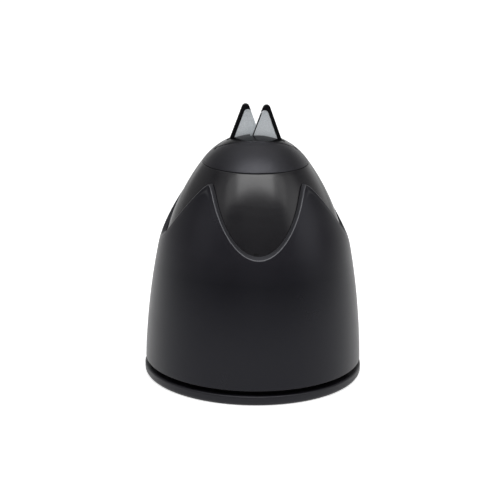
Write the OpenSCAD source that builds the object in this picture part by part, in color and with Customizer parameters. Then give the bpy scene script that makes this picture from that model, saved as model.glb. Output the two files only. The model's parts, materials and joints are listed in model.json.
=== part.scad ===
// Table-top knife sharpener: a dome on a suction pad, with two sprung
// abrasive arms that cross in a V, and a scalloped sleeve that turns to
// pull the pad's centre up and grip the table.
// The front faces -Y, +X is to the right, and the table is at Z = 0.

/* [Dome] */
// Radius of the dome at the table's level
dome_radius = 42.7; // [40:0.1:46]
// Height of the dome's crown above the table
dome_height = 101.1; // [97:0.1:106]
// Radius of the ball that rounds the crown
crown_radius = 26.6; // [25:0.1:28]
// Radius of the arc that bows the dome's side
side_bow = 287; // [220:1:400]
// Height at which the side arc becomes the shoulder arc
shoulder_height = 52.7; // [46:0.1:56]
// Wall of the dome
dome_wall = 2; // [1.6:0.1:2.4]
// Height of the cap, from its seam to the crown
cap_height = 11.5; // [10.5:0.1:12.5]
// Open seam between the cap and the dome
seam_gap = 0.15; // [0.1:0.05:0.3]

/* [Sleeve] */
// Wall of the turning sleeve
sleeve_wall = 1.9; // [1.5:0.1:2.5]
// Gap between the sleeve and the dome
sleeve_gap = 0.3; // [0.25:0.05:0.5]
// Gap between the pad's rim and the sleeve's lower edge
sleeve_rise = 2.1; // [1.8:0.1:2.4]
// Drop from the cap's seam to the tips between the scallops
tip_drop = 4.8; // [2.7:0.1:11]
// Depth of the scallops
scallop_depth = 26.4; // [20:0.1:32]
// Number of scallops
scallops = 4; // [3:1:6]
// Sharpness of the rim's tips, from 1 for a corner to 2 for a wave
rim_sharpness = 1.5; // [1.2:0.1:2]
// Rise of the rim's bevel across the wall, at the bottom of a scallop
rim_bevel = 1.4; // [0.6:0.1:2]
// Angle that the sleeve turns to lock
lock_angle = 90; // [60:5:100]

/* [Pad] */
// Overhang of the pad beyond the sleeve's wall
pad_lip = 0.3; // [0.2:0.1:4]
// Width of the pad's rim around the base plate
pad_rim = 4.3; // [3.8:0.1:6]
// Height of the pad's rim
pad_height = 4.2; // [3.9:0.1:4.5]
// Hollow under the pad's centre
pad_dish = 1; // [0.5:0.1:1.2]
// Width of the ring that meets the table
pad_contact = 4.5; // [3:0.5:8]
// Depth of the seat for the base plate
pad_seat = 1; // [0.6:0.1:1.2]

/* [Base] */
// Thickness of the base plate
base_thickness = 4; // [3.6:0.1:4.4]
// Radius of the centre column's bore
column_bore = 12.4; // [11.5:0.1:13.5]
// Wall of the centre column
column_wall = 4.6; // [4.3:0.1:5.5]
// Height of the column, on which the dome's floor stands
column_height = 32.8; // [31:0.1:39]
// Overhang of the column's top flange
flange_width = 7; // [6.5:0.1:10]
// Thickness of the column's flange
flange_thickness = 2.5; // [2:0.1:3]

/* [Lift] */
// Rise of the pad's centre when the sleeve is locked
lift = 3.5; // [2:0.1:4]
// Radius of the stem
stem_radius = 4.5; // [4:0.1:5]
// Radius of the cross pin
pin_radius = 1.5; // [1.2:0.1:1.8]
// Width of each ramp, outwards from the column
ramp_width = 4.6; // [3.5:0.1:6]
// Thickness of the cam ring's web
web_thickness = 3; // [2.6:0.1:3.2]
// Wire radius of the stem spring
stem_wire = 0.55; // [0.4:0.05:0.7]

/* [Sharpening arms] */
// Height of the arms' tips above the crown
arm_rise = 12.3; // [10:0.1:14]
// Distance of each tip from the middle
arm_tip_offset = 4.2; // [4:0.1:5]
// Radius of each tip
arm_tip_radius = 1.6; // [1.5:0.1:1.9]
// Angle of each edge from the vertical
edge_angle = 20; // [15:0.1:21]
// Thickness of each arm
arm_thickness = 1.9; // [1.5:0.1:2.2]
// Gap between the two arms
arm_gap = 0.3; // [0.2:0.05:0.5]
// Width of the holder's border outside the plate
border_width = 1.55; // [1.2:0.05:2]
// Radius of each plate's tip
plate_tip_radius = 1.5; // [1.2:0.05:1.5]
// Height of the pivots above the bracket's floor
pivot_rise = 3.5; // [3.1:0.1:4]
// Distance of each pivot from the middle
pivot_offset = 5; // [4.8:0.1:5.6]
// Radius of the pivot pins
pivot_radius = 1.5; // [1.2:0.1:1.6]
// Angle that each arm swings outwards
arm_swing = 6; // [4:0.5:7]
// Wire radius of the arm springs
arm_wire = 0.4; // [0.3:0.05:0.45]

/* [Cap] */
// Margin between the lens-shaped insert's points and the spigot
lens_margin = 1.3; // [0.8:0.1:2]
// Half the width of the lens-shaped insert
lens_width = 8.3; // [7.6:0.1:8.6]
// Distance of the insert's points in front of its middle
lens_lead = 1.2; // [0:0.1:1.4]
// Open seam around the insert
lens_gap = 0.15; // [0.1:0.05:0.25]
// Width of the insert's flange under the cap
lens_flange = 1.2; // [0.8:0.1:1.4]
// Wall of the cap's spigot
spigot_wall = 1.6; // [1.2:0.1:1.7]

/* [Fasteners] */
// Radius of every screw's thread
screw_radius = 1.1; // [0.9:0.05:1.2]
// Radius of every screw's head
screw_head_radius = 2; // [1.8:0.05:2.1]
// Height of every screw's head
screw_head_height = 1.5; // [1.2:0.1:1.6]
// Bite of the column's screws
column_bite = 7.5; // [5:0.1:9]
// Bite of the dome's screws
body_bite = 5; // [4:0.1:5.5]
// Bite of the sleeve's screws
lug_bite = 3.6; // [3:0.1:4]
// Bite of the cap's screws
cap_bite = 6; // [5:0.1:7]
// Bite of the bracket's screws
bracket_bite = 5; // [4:0.1:6]

/* [Clearances] */
// Radial clearance of turning and sliding fits
running = 0.06; // [0.03:0.01:0.09]
// Clearance of fixed pieces in their seats
seated = 0.05; // [0.03:0.01:0.1]
// Clearance between faces that pass each other
passing = 0.3; // [0.25:0.05:0.4]

/* [Hidden] */
$fn = 96;
eps = 0.01;

// The whole width, from the dome outwards
sleeve_offset = sleeve_gap + sleeve_wall;
pad_radius = dome_radius + sleeve_offset + pad_lip;
base_radius = pad_radius - pad_rim - passing;
column_radius = column_bore + column_wall;
flange_radius = column_radius + flange_width;

// Dome outline: a side arc, a shoulder arc and a crown ball, each tangent to the next
side_centre = [dome_radius - side_bow, 0];
side_end = asin(shoulder_height / side_bow);
side_normal = [cos(side_end), sin(side_end)];
crown_centre = [0, dome_height - crown_radius];
shoulder_from_crown = side_centre + side_bow * side_normal - crown_centre;
shoulder_radius = (shoulder_from_crown * shoulder_from_crown - pow(crown_radius, 2))
    / (2 * (shoulder_from_crown * side_normal - crown_radius));
shoulder_centre = side_centre + (side_bow - shoulder_radius) * side_normal;
to_crown = crown_centre - shoulder_centre;
shoulder_end = atan2(to_crown[1], to_crown[0]);

// Levels, from the table up
base_bottom = pad_height - pad_seat;
base_top = base_bottom + base_thickness;
sleeve_bottom = pad_height + sleeve_rise;
insert_thickness = 1.2;
insert_bottom = base_bottom - insert_thickness;
insert_radius = column_bore - 1.2;
web_bottom = base_top + passing;
web_top = web_bottom + web_thickness;
ramp_rise = 1;
ramp_low = web_top + ramp_rise;
pin_play = 0.2;
cross_pin_height = ramp_low + pin_radius + pin_play;
lug_height = 5;
lug_top = web_top + lug_height;
lug_play = 0.8;
dome_foot = lug_top + lug_play;
collar_rise = 1.7;
collar_width = 4;
collar_bottom = cross_pin_height + pin_radius + collar_rise;
collar_thickness = 2;
collar_top = collar_bottom + collar_thickness;
column_top = base_top + column_height;
guide_depth = 11.5;
guide_thickness = 3;
guide_bottom = column_top - guide_depth;
guide_top = guide_bottom + guide_thickness;
clip_thickness = 0.8;
clip_width = 2.5;
clip_bottom = guide_top + passing;
stem_end = 1.5;
stem_top = clip_bottom + clip_thickness + stem_end;
floor_thickness = 2.5;
floor_top = column_top + floor_thickness;
floor_boss_radius = 3;
floor_boss_height = 4;
seam_height = dome_height - cap_height;
rim_high = seam_height - tip_drop;
rim_low = rim_high - scallop_depth;
hole_end = 0.5;

// Cap, ledge and bracket
cap_inner = crown_radius - dome_wall;
spigot_radius = dome_r(seam_height, -dome_wall) - passing;
spigot_inside = spigot_radius - spigot_wall;
spigot_lap = 3;
lens_length = spigot_inside - lens_margin;
boss_radius = 2.4;
boss_inset = 0.5;
cap_screw_radius = spigot_radius - boss_radius - boss_inset;
ledge_depth = 6.7;
ledge_thickness = 2;
ledge_top = seam_height - ledge_depth;
ledge_bottom = ledge_top - ledge_thickness;
ledge_opening = cap_screw_radius - screw_head_radius - 4 * seated;
bracket_rise = 0.5;
bracket_bottom = ledge_top + screw_head_height + bracket_rise;
bracket_base = 2;
bracket_top = bracket_bottom + bracket_base;
bracket_wall = 1.6;
flange_ball = cap_inner - seated;
insert_skin = 1.2;
bracket_ball = flange_ball - insert_skin - 2 * seated;

// Sleeve, cam and screws
lug_radius = 3;
lug_inset = 3.9;
lug_offset = dome_radius - lug_inset;
hub_bore = column_radius + running;
ramp_outer = hub_bore + ramp_width;
cross_pin_half_length = ramp_outer - passing;
column_screw_offset = (column_bore + column_radius) / 2;
body_screw_inset = 3.5;
body_screw_offset = flange_radius - body_screw_inset;

// Arms
arm_inner_face = arm_gap / 2;
arm_outer_face = arm_inner_face + arm_thickness;
tip_centre = [arm_tip_offset, dome_height + arm_rise - arm_tip_radius];
pivot_height = bracket_top + pivot_rise;
neck = 6.5;
arm_root = pivot_height + neck;
plate_depth = 0.9;
plate_root = arm_root - plate_depth;
pivot_boss = pivot_rise - passing;
hub_wall = 0.8;
hub_radius = pivot_radius + hub_wall;
tail_half_width = 2;
tail_length = 10.5;
tail_shift = 0.4;
tail_centre = pivot_offset - tail_shift;
window_half_length = tail_centre + tail_half_width + 2 * seated;
window_margin = 2.15;
window_half_width = arm_outer_face + window_margin;
coil_play = 0.2;
coil_radius = hub_radius + coil_play + arm_wire;
coil_turns = 4;
coil_room = 1.35;
bracket_inside = arm_outer_face + 2 * (coil_turns + 1) * arm_wire + coil_room;
bracket_outside = bracket_inside + bracket_wall;
bracket_margin = 1.4;
bracket_half_length = pivot_offset + pivot_boss + bracket_margin;
tab_gap = 1.1;
bracket_screw_offset = bracket_outside + boss_radius + tab_gap;
plate_recess = 0.1;
slot_play = 0.2;
// The plate's inner edge is the arm's, and its outer edge lies inside the border
plate_tip = tip_centre + [
    -border_width / (2 * cos(edge_angle)),
    (2 * arm_tip_radius - border_width - 2 * plate_tip_radius) / (2 * sin(edge_angle))
];
// Below the crown's surface the arm's outer side runs straight down
arm_reach_height = crown_centre[1] + sqrt(pow(crown_radius, 2) - pow(arm_x(dome_height - 2, 1), 2));
arm_reach = arm_x(arm_reach_height, 1);
stud_radius = 2;
stud_length = 5.5;
clip_groove = 0.7;
pin_end = 1.4;
pin_clip_thickness = 0.6;
pin_clip_radius = pivot_radius + 1;
hook_drop = 6.5;

// ---------------------------------------------------------------- helpers

// Points along an arc from angle a to angle b
function arc(centre, radius, a, b, steps) =
    [for (i = [0:steps]) centre + radius * [cos(a + (b - a) * i / steps), sin(a + (b - a) * i / steps)]];

// Radius of the dome at height z, moved outwards by d
function dome_r(z, d = 0) =
    z <= (side_bow + d) * sin(side_end)
        ? side_centre[0] + sqrt(pow(side_bow + d, 2) - z * z)
        : z <= shoulder_centre[1] + (shoulder_radius + d) * sin(shoulder_end)
            ? shoulder_centre[0] + sqrt(pow(shoulder_radius + d, 2) - pow(z - shoulder_centre[1], 2))
            : sqrt(max(0, pow(crown_radius + d, 2) - pow(z - crown_centre[1], 2)));

// The dome's outline moved outwards by d, from the table to the crown
function dome_outline(d) = concat(
    arc(side_centre, side_bow + d, 0, side_end, 8),
    arc(shoulder_centre, shoulder_radius + d, side_end, shoulder_end, 14),
    arc(crown_centre, crown_radius + d, shoulder_end, 90, 14)
);

// The part of that outline between two heights
function dome_stretch(d, low, high) = concat(
    [[dome_r(low, d), low]],
    [for (p = dome_outline(d)) if (p[1] > low + 0.1 && p[1] < high - 0.1) p],
    [[dome_r(high, d), high]]
);

function reversed(list) = [for (i = [len(list) - 1:-1:0]) list[i]];

// A shell between two offsets of the dome's outline
module dome_shell(outside, inside, low, high) {
    rotate_extrude()
        polygon(concat(dome_stretch(outside, low, high), reversed(dome_stretch(inside, low, high))));
}

// A flat ring
module ring(outer, inner, low, high) {
    difference() {
        translate([0, 0, low]) cylinder(r = outer, h = high - low);
        translate([0, 0, low - 1]) cylinder(r = inner, h = high - low + 2);
    }
}

// Copies at equal steps around the axis, at a radius and a starting angle
module around(count, radius, start = 0) {
    for (i = [0:count - 1]) rotate([0, 0, start + 360 * i / count]) translate([radius, 0, 0]) children();
}

// A cylinder along +Y from y to y + length
module along_y(x, z, y, length, radius) {
    translate([x, y, z]) rotate([-90, 0, 0]) cylinder(r = radius, h = length);
}

// A screw that points up, with its head's underside at head_top
module screw_up(head_top, length) {
    difference() {
        union() {
            translate([0, 0, head_top - screw_head_height])
                cylinder(r = screw_head_radius, h = screw_head_height);
            translate([0, 0, head_top - eps]) cylinder(r = screw_radius, h = length + eps);
        }
        for (turn = [0, 90])
            rotate([0, 0, turn])
                translate([-screw_head_radius * 0.6, -0.25, head_top - screw_head_height - 1])
                    cube([screw_head_radius * 1.2, 0.5, 1 + screw_head_height / 2]);
    }
}

// Directions at right angles to a path, carried along it without twist
function unit(v) = v / norm(v);
function tangents(path) =
    let (steps = [for (i = [0:len(path) - 2]) unit(path[i + 1] - path[i])])
        [for (i = [0:len(path) - 1]) unit(steps[max(i - 1, 0)] + steps[min(i, len(steps) - 1)])];
function carried(t, n, i = 1, done = []) =
    i > len(t) - 1
        ? concat([n], done)
        : let (last = i == 1 ? n : done[i - 2], next = unit(last - (last * t[i]) * t[i]))
            carried(t, n, i + 1, concat(done, [next]));

// A round wire along a path
module wire(path, radius, start_normal, sides = 8) {
    t = tangents(path);
    n = carried(t, unit(start_normal - (start_normal * t[0]) * t[0]));
    count = len(path);
    points = [
        for (i = [0:count - 1]) for (j = [0:sides - 1])
            path[i] + radius * (cos(360 * j / sides) * n[i] + sin(360 * j / sides) * cross(t[i], n[i]))
    ];
    walls = [
        for (i = [0:count - 2]) for (j = [0:sides - 1])
            let (a = i * sides + j, b = i * sides + (j + 1) % sides)
                each [[a, a + sides, b], [b, a + sides, b + sides]]
    ];
    first = [for (j = [0:sides - 1]) j];
    last = [for (j = [sides - 1:-1:0]) (count - 1) * sides + j];
    polyhedron(points, concat([first, last], walls), convexity = 8);
}

// ---------------------------------------------------------------- base

module suction_pad() {
    lower_round = 1.6;
    upper_round = 0.8;
    color("#2b2b2e")
        rotate_extrude()
            polygon(concat(
                [[0, pad_dish], [pad_radius - lower_round - pad_contact, 0]],
                arc([pad_radius - lower_round, lower_round], lower_round, -90, 0, 6),
                arc([pad_radius - upper_round, pad_height - upper_round], upper_round, 0, 90, 5),
                [
                    [base_radius + passing, pad_height],
                    [base_radius + passing, base_bottom],
                    [insert_radius + passing, base_bottom],
                    [insert_radius + passing, insert_bottom],
                    [0, insert_bottom]
                ]
            ));
}

module base_plate() {
    color("#1d1d1f")
        difference() {
            ring(base_radius, column_bore, base_bottom, base_top);
            around(4, column_screw_offset, 45) {
                translate([0, 0, base_bottom - 1])
                    cylinder(r = screw_head_radius + seated, h = 1 + screw_head_height + seated);
                translate([0, 0, base_bottom]) cylinder(r = screw_radius + seated, h = base_top);
            }
        }
}

module center_column() {
    slot_bottom = cross_pin_height - pin_radius - passing;
    slot_top = cross_pin_height + lift + pin_radius + passing;
    color("#3a3a3d")
        difference() {
            union() {
                ring(column_radius, column_bore, base_top, column_top);
                ring(column_bore + 1, stem_radius + running, guide_bottom, guide_top);
                ring(flange_radius, column_bore, column_top - flange_thickness, column_top);
            }
            translate([-column_radius - 1, -pin_radius - running, slot_bottom])
                cube([2 * column_radius + 2, 2 * (pin_radius + running), slot_top - slot_bottom]);
            around(4, column_screw_offset, 45)
                translate([0, 0, base_top - 1]) cylinder(r = screw_radius + seated, h = 1 + column_bite + hole_end);
            around(4, body_screw_offset)
                translate([0, 0, column_top - flange_thickness - 1])
                    cylinder(r = screw_radius + seated, h = flange_thickness + 2);
        }
}

module column_screws() {
    color("#b9bcc0")
        around(4, column_screw_offset, 45)
            screw_up(base_bottom + screw_head_height, base_thickness - screw_head_height + column_bite);
}

// ---------------------------------------------------------------- dome

module inner_body() {
    // A small index mark lies in the front scallop, just above the rim
    index_angle = -2.8;
    index_radius = 1.1;
    index_depth = 0.8;
    index_height = rim_low + rim_bevel + 0.3;
    color("#151517")
        difference() {
            union() {
                dome_shell(0, -dome_wall, dome_foot, seam_height);
                difference() {
                    translate([0, 0, column_top])
                        cylinder(r = dome_r(floor_top, -dome_wall / 2), h = floor_thickness);
                    around(4, cap_screw_radius, 45)
                        translate([0, 0, column_top - 1])
                            cylinder(r = screw_head_radius + 1, h = floor_thickness + 2);
                }
                around(4, body_screw_offset)
                    translate([0, 0, floor_top - eps]) cylinder(r = floor_boss_radius, h = floor_boss_height);
                ring(dome_r(ledge_top, -dome_wall / 2), ledge_opening, ledge_bottom, ledge_top);
            }
            around(4, body_screw_offset)
                translate([0, 0, column_top - 1])
                    cylinder(r = screw_radius + seated, h = 1 + body_bite + hole_end);
            around(4, cap_screw_radius, 45)
                translate([0, 0, ledge_bottom - 1])
                    cylinder(r = screw_radius + seated, h = ledge_thickness + 2);
            rotate([0, 0, -90 + index_angle])
                translate([dome_r(index_height) - index_depth, 0, index_height])
                    rotate([0, 90, 0])
                        cylinder(r = index_radius, h = 3);
        }
}

module body_screws() {
    color("#b9bcc0")
        around(4, body_screw_offset)
            screw_up(column_top - flange_thickness, flange_thickness + body_bite);
}

// ---------------------------------------------------------------- cap

function arc_radius(half_length, rise) = (pow(half_length, 2) + pow(rise, 2)) / (2 * rise);

// A lens, a margin wider all round than the insert: two arcs that meet in points at the ends
module lens(margin, low, high) {
    half_length = lens_length + margin;
    half_width = lens_width + margin;
    front = arc_radius(half_length, half_width - lens_lead);
    back = arc_radius(half_length, half_width + lens_lead);
    intersection() {
        translate([0, front - half_width, low]) cylinder(r = front, h = high - low);
        translate([0, half_width - back, low]) cylinder(r = back, h = high - low);
    }
}

// A ball around the crown's centre
module crown_ball(radius) {
    translate([0, 0, crown_centre[1]]) sphere(r = radius);
}

module top_cap() {
    notch_radius = 0.6;
    spigot_top = seam_height + spigot_lap;
    above_ledge = dome_height - ledge_top;
    color("#2f2f33")
        difference() {
            union() {
                dome_shell(0, -dome_wall, seam_height + seam_gap, dome_height - eps);
                intersection() {
                    union() {
                        ring(spigot_radius, spigot_inside, ledge_top, spigot_top);
                        around(4, cap_screw_radius, 45)
                            translate([0, 0, ledge_top]) cylinder(r = boss_radius, h = above_ledge);
                        around(2, bracket_screw_offset, 90)
                            translate([0, 0, bracket_top]) cylinder(r = boss_radius, h = above_ledge);
                    }
                    translate([0, 0, ledge_top]) cylinder(r = spigot_radius, h = above_ledge);
                    crown_ball(cap_inner + dome_wall / 2);
                }
            }
            lens(lens_gap, seam_height, dome_height + 1);
            for (end = [-1, 1])
                translate([end * (lens_length + lens_gap), -lens_lead, seam_height])
                    cylinder(r = notch_radius, h = dome_height);
            around(4, cap_screw_radius, 45)
                translate([0, 0, ledge_top - 1])
                    cylinder(r = screw_radius + seated, h = 1 + cap_bite + hole_end);
            around(2, bracket_screw_offset, 90)
                translate([0, 0, bracket_top - 1])
                    cylinder(r = screw_radius + seated, h = 1 + bracket_bite + hole_end);
        }
}

module cap_screws() {
    color("#b9bcc0") around(4, cap_screw_radius, 45) screw_up(ledge_bottom, ledge_thickness + cap_bite);
}

module slot_insert() {
    // Each slot leaves room for its arm's swing
    slot_out = swung_x(arm_reach, arm_reach_height) + passing;
    slot_in = arm_x(arm_root, -1) - passing;
    slot_face = arm_outer_face + slot_play;
    color("#2a2a2d")
        difference() {
            union() {
                intersection() {
                    lens(0, seam_height, dome_height + 1);
                    difference() {
                        crown_ball(crown_radius);
                        crown_ball(cap_inner - 2 * seated);
                    }
                }
                intersection() {
                    lens(lens_flange, ledge_top, dome_height);
                    translate([0, 0, ledge_top])
                        cylinder(r = spigot_inside - passing, h = dome_height - ledge_top);
                    difference() {
                        crown_ball(flange_ball);
                        crown_ball(flange_ball - insert_skin);
                    }
                }
            }
            for (turn = [0, 180])
                rotate([0, 0, turn])
                    translate([slot_in, -slot_face, ledge_top])
                        cube([slot_out - slot_in, slot_face + 0.05, dome_height]);
        }
}

// ---------------------------------------------------------------- arms

// Where an arm's edge is at height z: side 1 outside, side -1 inside
function arm_x(z, side) =
    tip_centre[0] + side * (arm_tip_radius / cos(edge_angle) + (tip_centre[1] - z) * tan(edge_angle));

// Where a point of the right arm goes when the arm swings right out
function swung_x(x, z) =
    pivot_offset + (x - pivot_offset) * cos(arm_swing) + (z - pivot_height) * sin(arm_swing);

// A point with a round tip, drawn in X and Z, from its tip's centre down to a height
module pointed(centre, radius, low) {
    spread = radius / cos(edge_angle) + (centre[1] - low) * tan(edge_angle);
    polygon(concat(
        [[centre[0] + spread, low]],
        arc(centre, radius, edge_angle, 180 - edge_angle, 12),
        [[centre[0] - spread, low]]
    ));
}

// A flat piece drawn in X and Z, from y = -near to y = -(near + thickness)
module upright(near, thickness) {
    translate([0, -near, 0]) rotate([90, 0, 0]) linear_extrude(thickness) children();
}

module arm_outline() {
    intersection() {
        union() {
            pointed(tip_centre, arm_tip_radius, arm_root - eps);
            polygon([
                [arm_x(arm_root, -1), arm_root],
                [arm_x(arm_root, 1), arm_root],
                [arm_reach, plate_root - 1],
                [pivot_offset + pivot_boss, pivot_height],
                [pivot_offset - pivot_boss, pivot_height],
                [arm_x(arm_root, -1) + 1, plate_root - 1]
            ]);
            translate([pivot_offset, pivot_height]) circle(r = pivot_boss);
            translate([tail_centre - tail_half_width, pivot_height - tail_length])
                square([2 * tail_half_width, tail_length]);
        }
        translate([-dome_radius, 0]) square([dome_radius + arm_reach, 2 * dome_height]);
    }
}

// The right arm's holder, with the plate's seat open on its inner edge
module arm_holder() {
    difference() {
        union() {
            upright(arm_inner_face, arm_thickness) arm_outline();
            along_y(pivot_offset, pivot_height, -bracket_inside + 2 * seated,
                bracket_inside - 2 * seated - arm_outer_face + arm_thickness / 2, hub_radius);
        }
        upright(0, arm_outer_face + 1)
            pointed(plate_tip, plate_tip_radius + seated, plate_root - seated);
        along_y(pivot_offset, pivot_height, -bracket_inside - 1, bracket_inside + 2, pivot_radius + running);
    }
}

// The right arm's abrasive plate, a little thinner than its holder
module arm_plate() {
    upright(arm_inner_face + plate_recess, arm_thickness - 2 * plate_recess)
        pointed(plate_tip, plate_tip_radius, plate_root);
}

module pivot_pin() {
    head_thickness = 0.8;
    along_y(pivot_offset, pivot_height, -bracket_outside - head_thickness, head_thickness, hub_radius);
    along_y(pivot_offset, pivot_height, -bracket_outside - head_thickness,
        2 * bracket_outside + head_thickness + pin_end, pivot_radius);
}

// A coil around the right arm's hub: one leg hooks behind the tail, one stands on the bracket
module arm_spring() {
    tail_side = tail_centre - tail_half_width - arm_wire - seated;
    coil_near = -arm_outer_face - 2 * arm_wire - 2 * seated;
    coil_far = -bracket_inside + arm_wire + passing;
    hook_height = pivot_height - hook_drop;
    sweep = 360 * (coil_turns + 0.5);
    steps = 16 * coil_turns;
    coil = [
        for (i = [0:steps])
            let (a = 180 - sweep * i / steps)
                [
                    pivot_offset + coil_radius * cos(a),
                    coil_near + (coil_far - coil_near) * i / steps,
                    pivot_height + coil_radius * sin(a)
                ]
    ];
    wire(
        concat(
            [[tail_side, -arm_outer_face + arm_thickness / 2, hook_height], [tail_side, coil_near, hook_height]],
            coil,
            [[pivot_offset + coil_radius, coil_far, bracket_top + seated]]
        ),
        arm_wire,
        [1, 0, 0]
    );
}

// The left arm's pieces are the right arm's, half a turn around the middle
module left_side() {
    rotate([0, 0, 180]) children();
}

module right_arm() {
    color("#141416") arm_holder();
}

module left_arm() {
    color("#141416") left_side() arm_holder();
}

module right_plate() {
    color("#b4b7ba") arm_plate();
}

module left_plate() {
    color("#b4b7ba") left_side() arm_plate();
}

module right_pivot_pin() {
    color("#c9ccd0") pivot_pin();
}

module left_pivot_pin() {
    color("#c9ccd0") left_side() pivot_pin();
}

module right_arm_spring() {
    color("#9a9da2") arm_spring();
}

module left_arm_spring() {
    color("#9a9da2") left_side() arm_spring();
}

module pivot_clips() {
    color("#8d9095")
        for (turn = [0, 180])
            rotate([0, 0, turn])
                difference() {
                    along_y(pivot_offset, pivot_height, bracket_outside + seated, pin_clip_thickness, pin_clip_radius);
                    along_y(pivot_offset, pivot_height, bracket_outside - 1,
                        2 + pin_clip_thickness, pivot_radius + seated);
                }
}

module pin_spacers() {
    color("#d8d8d2")
        for (turn = [0, 180])
            rotate([0, 0, turn])
                difference() {
                    along_y(pivot_offset, pivot_height, 0, bracket_inside - seated, hub_radius);
                    along_y(pivot_offset, pivot_height, -1, bracket_inside + 2, pivot_radius + seated);
                }
}

module arm_bracket() {
    tab_half_width = 3.2;
    tab_reach = bracket_screw_offset + boss_radius;
    wall_height = dome_height - bracket_bottom;
    color("#55575b")
        difference() {
            union() {
                translate([-bracket_half_length, -bracket_outside, bracket_bottom])
                    cube([2 * bracket_half_length, 2 * bracket_outside, bracket_base]);
                translate([-tab_half_width, -tab_reach, bracket_bottom])
                    cube([2 * tab_half_width, 2 * tab_reach, bracket_base]);
                intersection() {
                    for (y = [-bracket_outside, bracket_inside])
                        translate([-bracket_half_length, y, bracket_bottom])
                            cube([2 * bracket_half_length, bracket_wall, wall_height]);
                    crown_ball(bracket_ball);
                }
            }
            translate([-window_half_length, -window_half_width, bracket_bottom - 1])
                cube([2 * window_half_length, 2 * window_half_width, bracket_base + 2]);
            for (side = [-1, 1])
                along_y(side * pivot_offset, pivot_height, -bracket_outside - 1,
                    2 * bracket_outside + 2, pivot_radius + seated);
            around(2, bracket_screw_offset, 90)
                translate([0, 0, bracket_bottom - 1])
                    cylinder(r = screw_radius + seated, h = bracket_base + 2);
        }
}

module bracket_screws() {
    color("#b9bcc0") around(2, bracket_screw_offset, 90) screw_up(bracket_bottom, bracket_base + bracket_bite);
}

// ---------------------------------------------------------------- sleeve

// How far the rim dips at an angle around the axis: 1 at a scallop's bottom, 0 at a tip
function rim_dip(angle) = pow(abs(cos(scallops / 2 * (angle + 90))), rim_sharpness);

// Height of the rim's outer edge at an angle around the axis
function rim_z(angle) = rim_high - scallop_depth * rim_dip(angle);

function polar(angle, radius, z) = [radius * cos(angle), radius * sin(angle), z];

// What lies above the rim: its lower side rises inwards to bevel the scallops
module above_rim() {
    count = 30 * scallops;
    margin = 1;
    top = rim_high + 3 * margin;
    points = [
        for (i = [0:count - 1])
            let (
                a = 360 * i / count,
                z = rim_z(a),
                rise = rim_bevel * rim_dip(a),
                outer = dome_r(z, sleeve_offset),
                inner = dome_r(z + rise, sleeve_gap),
                slope = rise / (outer - inner)
            )
                each [
                    polar(a, inner - margin, z + rise + slope * margin),
                    polar(a, outer + margin, z - slope * margin),
                    polar(a, outer + margin, top),
                    polar(a, dome_r(top) - margin, top)
                ]
    ];
    faces = [
        for (i = [0:count - 1]) for (j = [0:3])
            let (a = 4 * i, b = 4 * ((i + 1) % count), k = (j + 1) % 4)
                each [[a + j, a + k, b + j], [a + k, b + k, b + j]]
    ];
    polyhedron(points, faces, convexity = 6);
}

module outer_sleeve() {
    lug_wall = dome_r(lug_top, sleeve_gap + sleeve_wall / 2);
    color("#26272b") union() {
        difference() {
            dome_shell(sleeve_offset, sleeve_gap, sleeve_bottom, rim_high + 1);
            above_rim();
        }
        difference() {
            intersection() {
                around(4, lug_offset, 45)
                    translate([0, 0, web_top]) {
                        cylinder(r = lug_radius, h = lug_top - web_top);
                        translate([0, -lug_radius, 0])
                            cube([pad_radius - lug_offset, 2 * lug_radius, lug_top - web_top]);
                    }
                cylinder(r = lug_wall, h = lug_top);
            }
            around(4, lug_offset, 45)
                translate([0, 0, web_top - 1])
                    cylinder(r = screw_radius + seated, h = 1 + lug_bite + hole_end);
        }
    }
}

// A ramp around the hub that rises with the angle, then runs level to its end
module ramp() {
    steps = 24;
    level = 8;
    lead = 3;
    inner = hub_bore + 0.3;
    outer = ramp_outer - 0.2;
    bottom = ramp_low - 0.6;
    angles = concat([for (i = [0:steps]) -lead + (lock_angle + lead) * i / steps], [lock_angle + level]);
    points = [
        for (a = angles)
            let (top = ramp_low + lift * min(a, lock_angle) / lock_angle)
                each [
                    [inner * cos(a), inner * sin(a), bottom],
                    [outer * cos(a), outer * sin(a), bottom],
                    [outer * cos(a), outer * sin(a), top],
                    [inner * cos(a), inner * sin(a), top]
                ]
    ];
    last = 4 * (len(angles) - 1);
    walls = [
        for (i = [0:len(angles) - 2]) for (j = [0:3])
            let (a = 4 * i, b = a + 4, k = (j + 1) % 4)
                each [[a + j, a + k, b + j], [a + k, b + k, b + j]]
    ];
    polyhedron(points, concat([[3, 2, 1, 0], [last, last + 1, last + 2, last + 3]], walls), convexity = 4);
}

module cam_ring() {
    rim = dome_r(web_top, sleeve_gap) - seated;
    color("#77797d")
        difference() {
            union() {
                ring(rim, hub_bore, web_bottom, web_top);
                ring(ramp_outer, hub_bore, web_top - eps, ramp_low);
                for (turn = [0, 180]) rotate([0, 0, turn]) ramp();
            }
            around(4, lug_offset, 45) {
                translate([0, 0, web_bottom - 1])
                    cylinder(r = screw_head_radius + seated, h = 1 + screw_head_height + seated);
                translate([0, 0, web_bottom]) cylinder(r = screw_radius + seated, h = web_thickness + 1);
            }
        }
}

module sleeve_screws() {
    color("#b9bcc0")
        around(4, lug_offset, 45)
            screw_up(web_bottom + screw_head_height, web_thickness - screw_head_height + lug_bite);
}

// ---------------------------------------------------------------- lift

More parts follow.
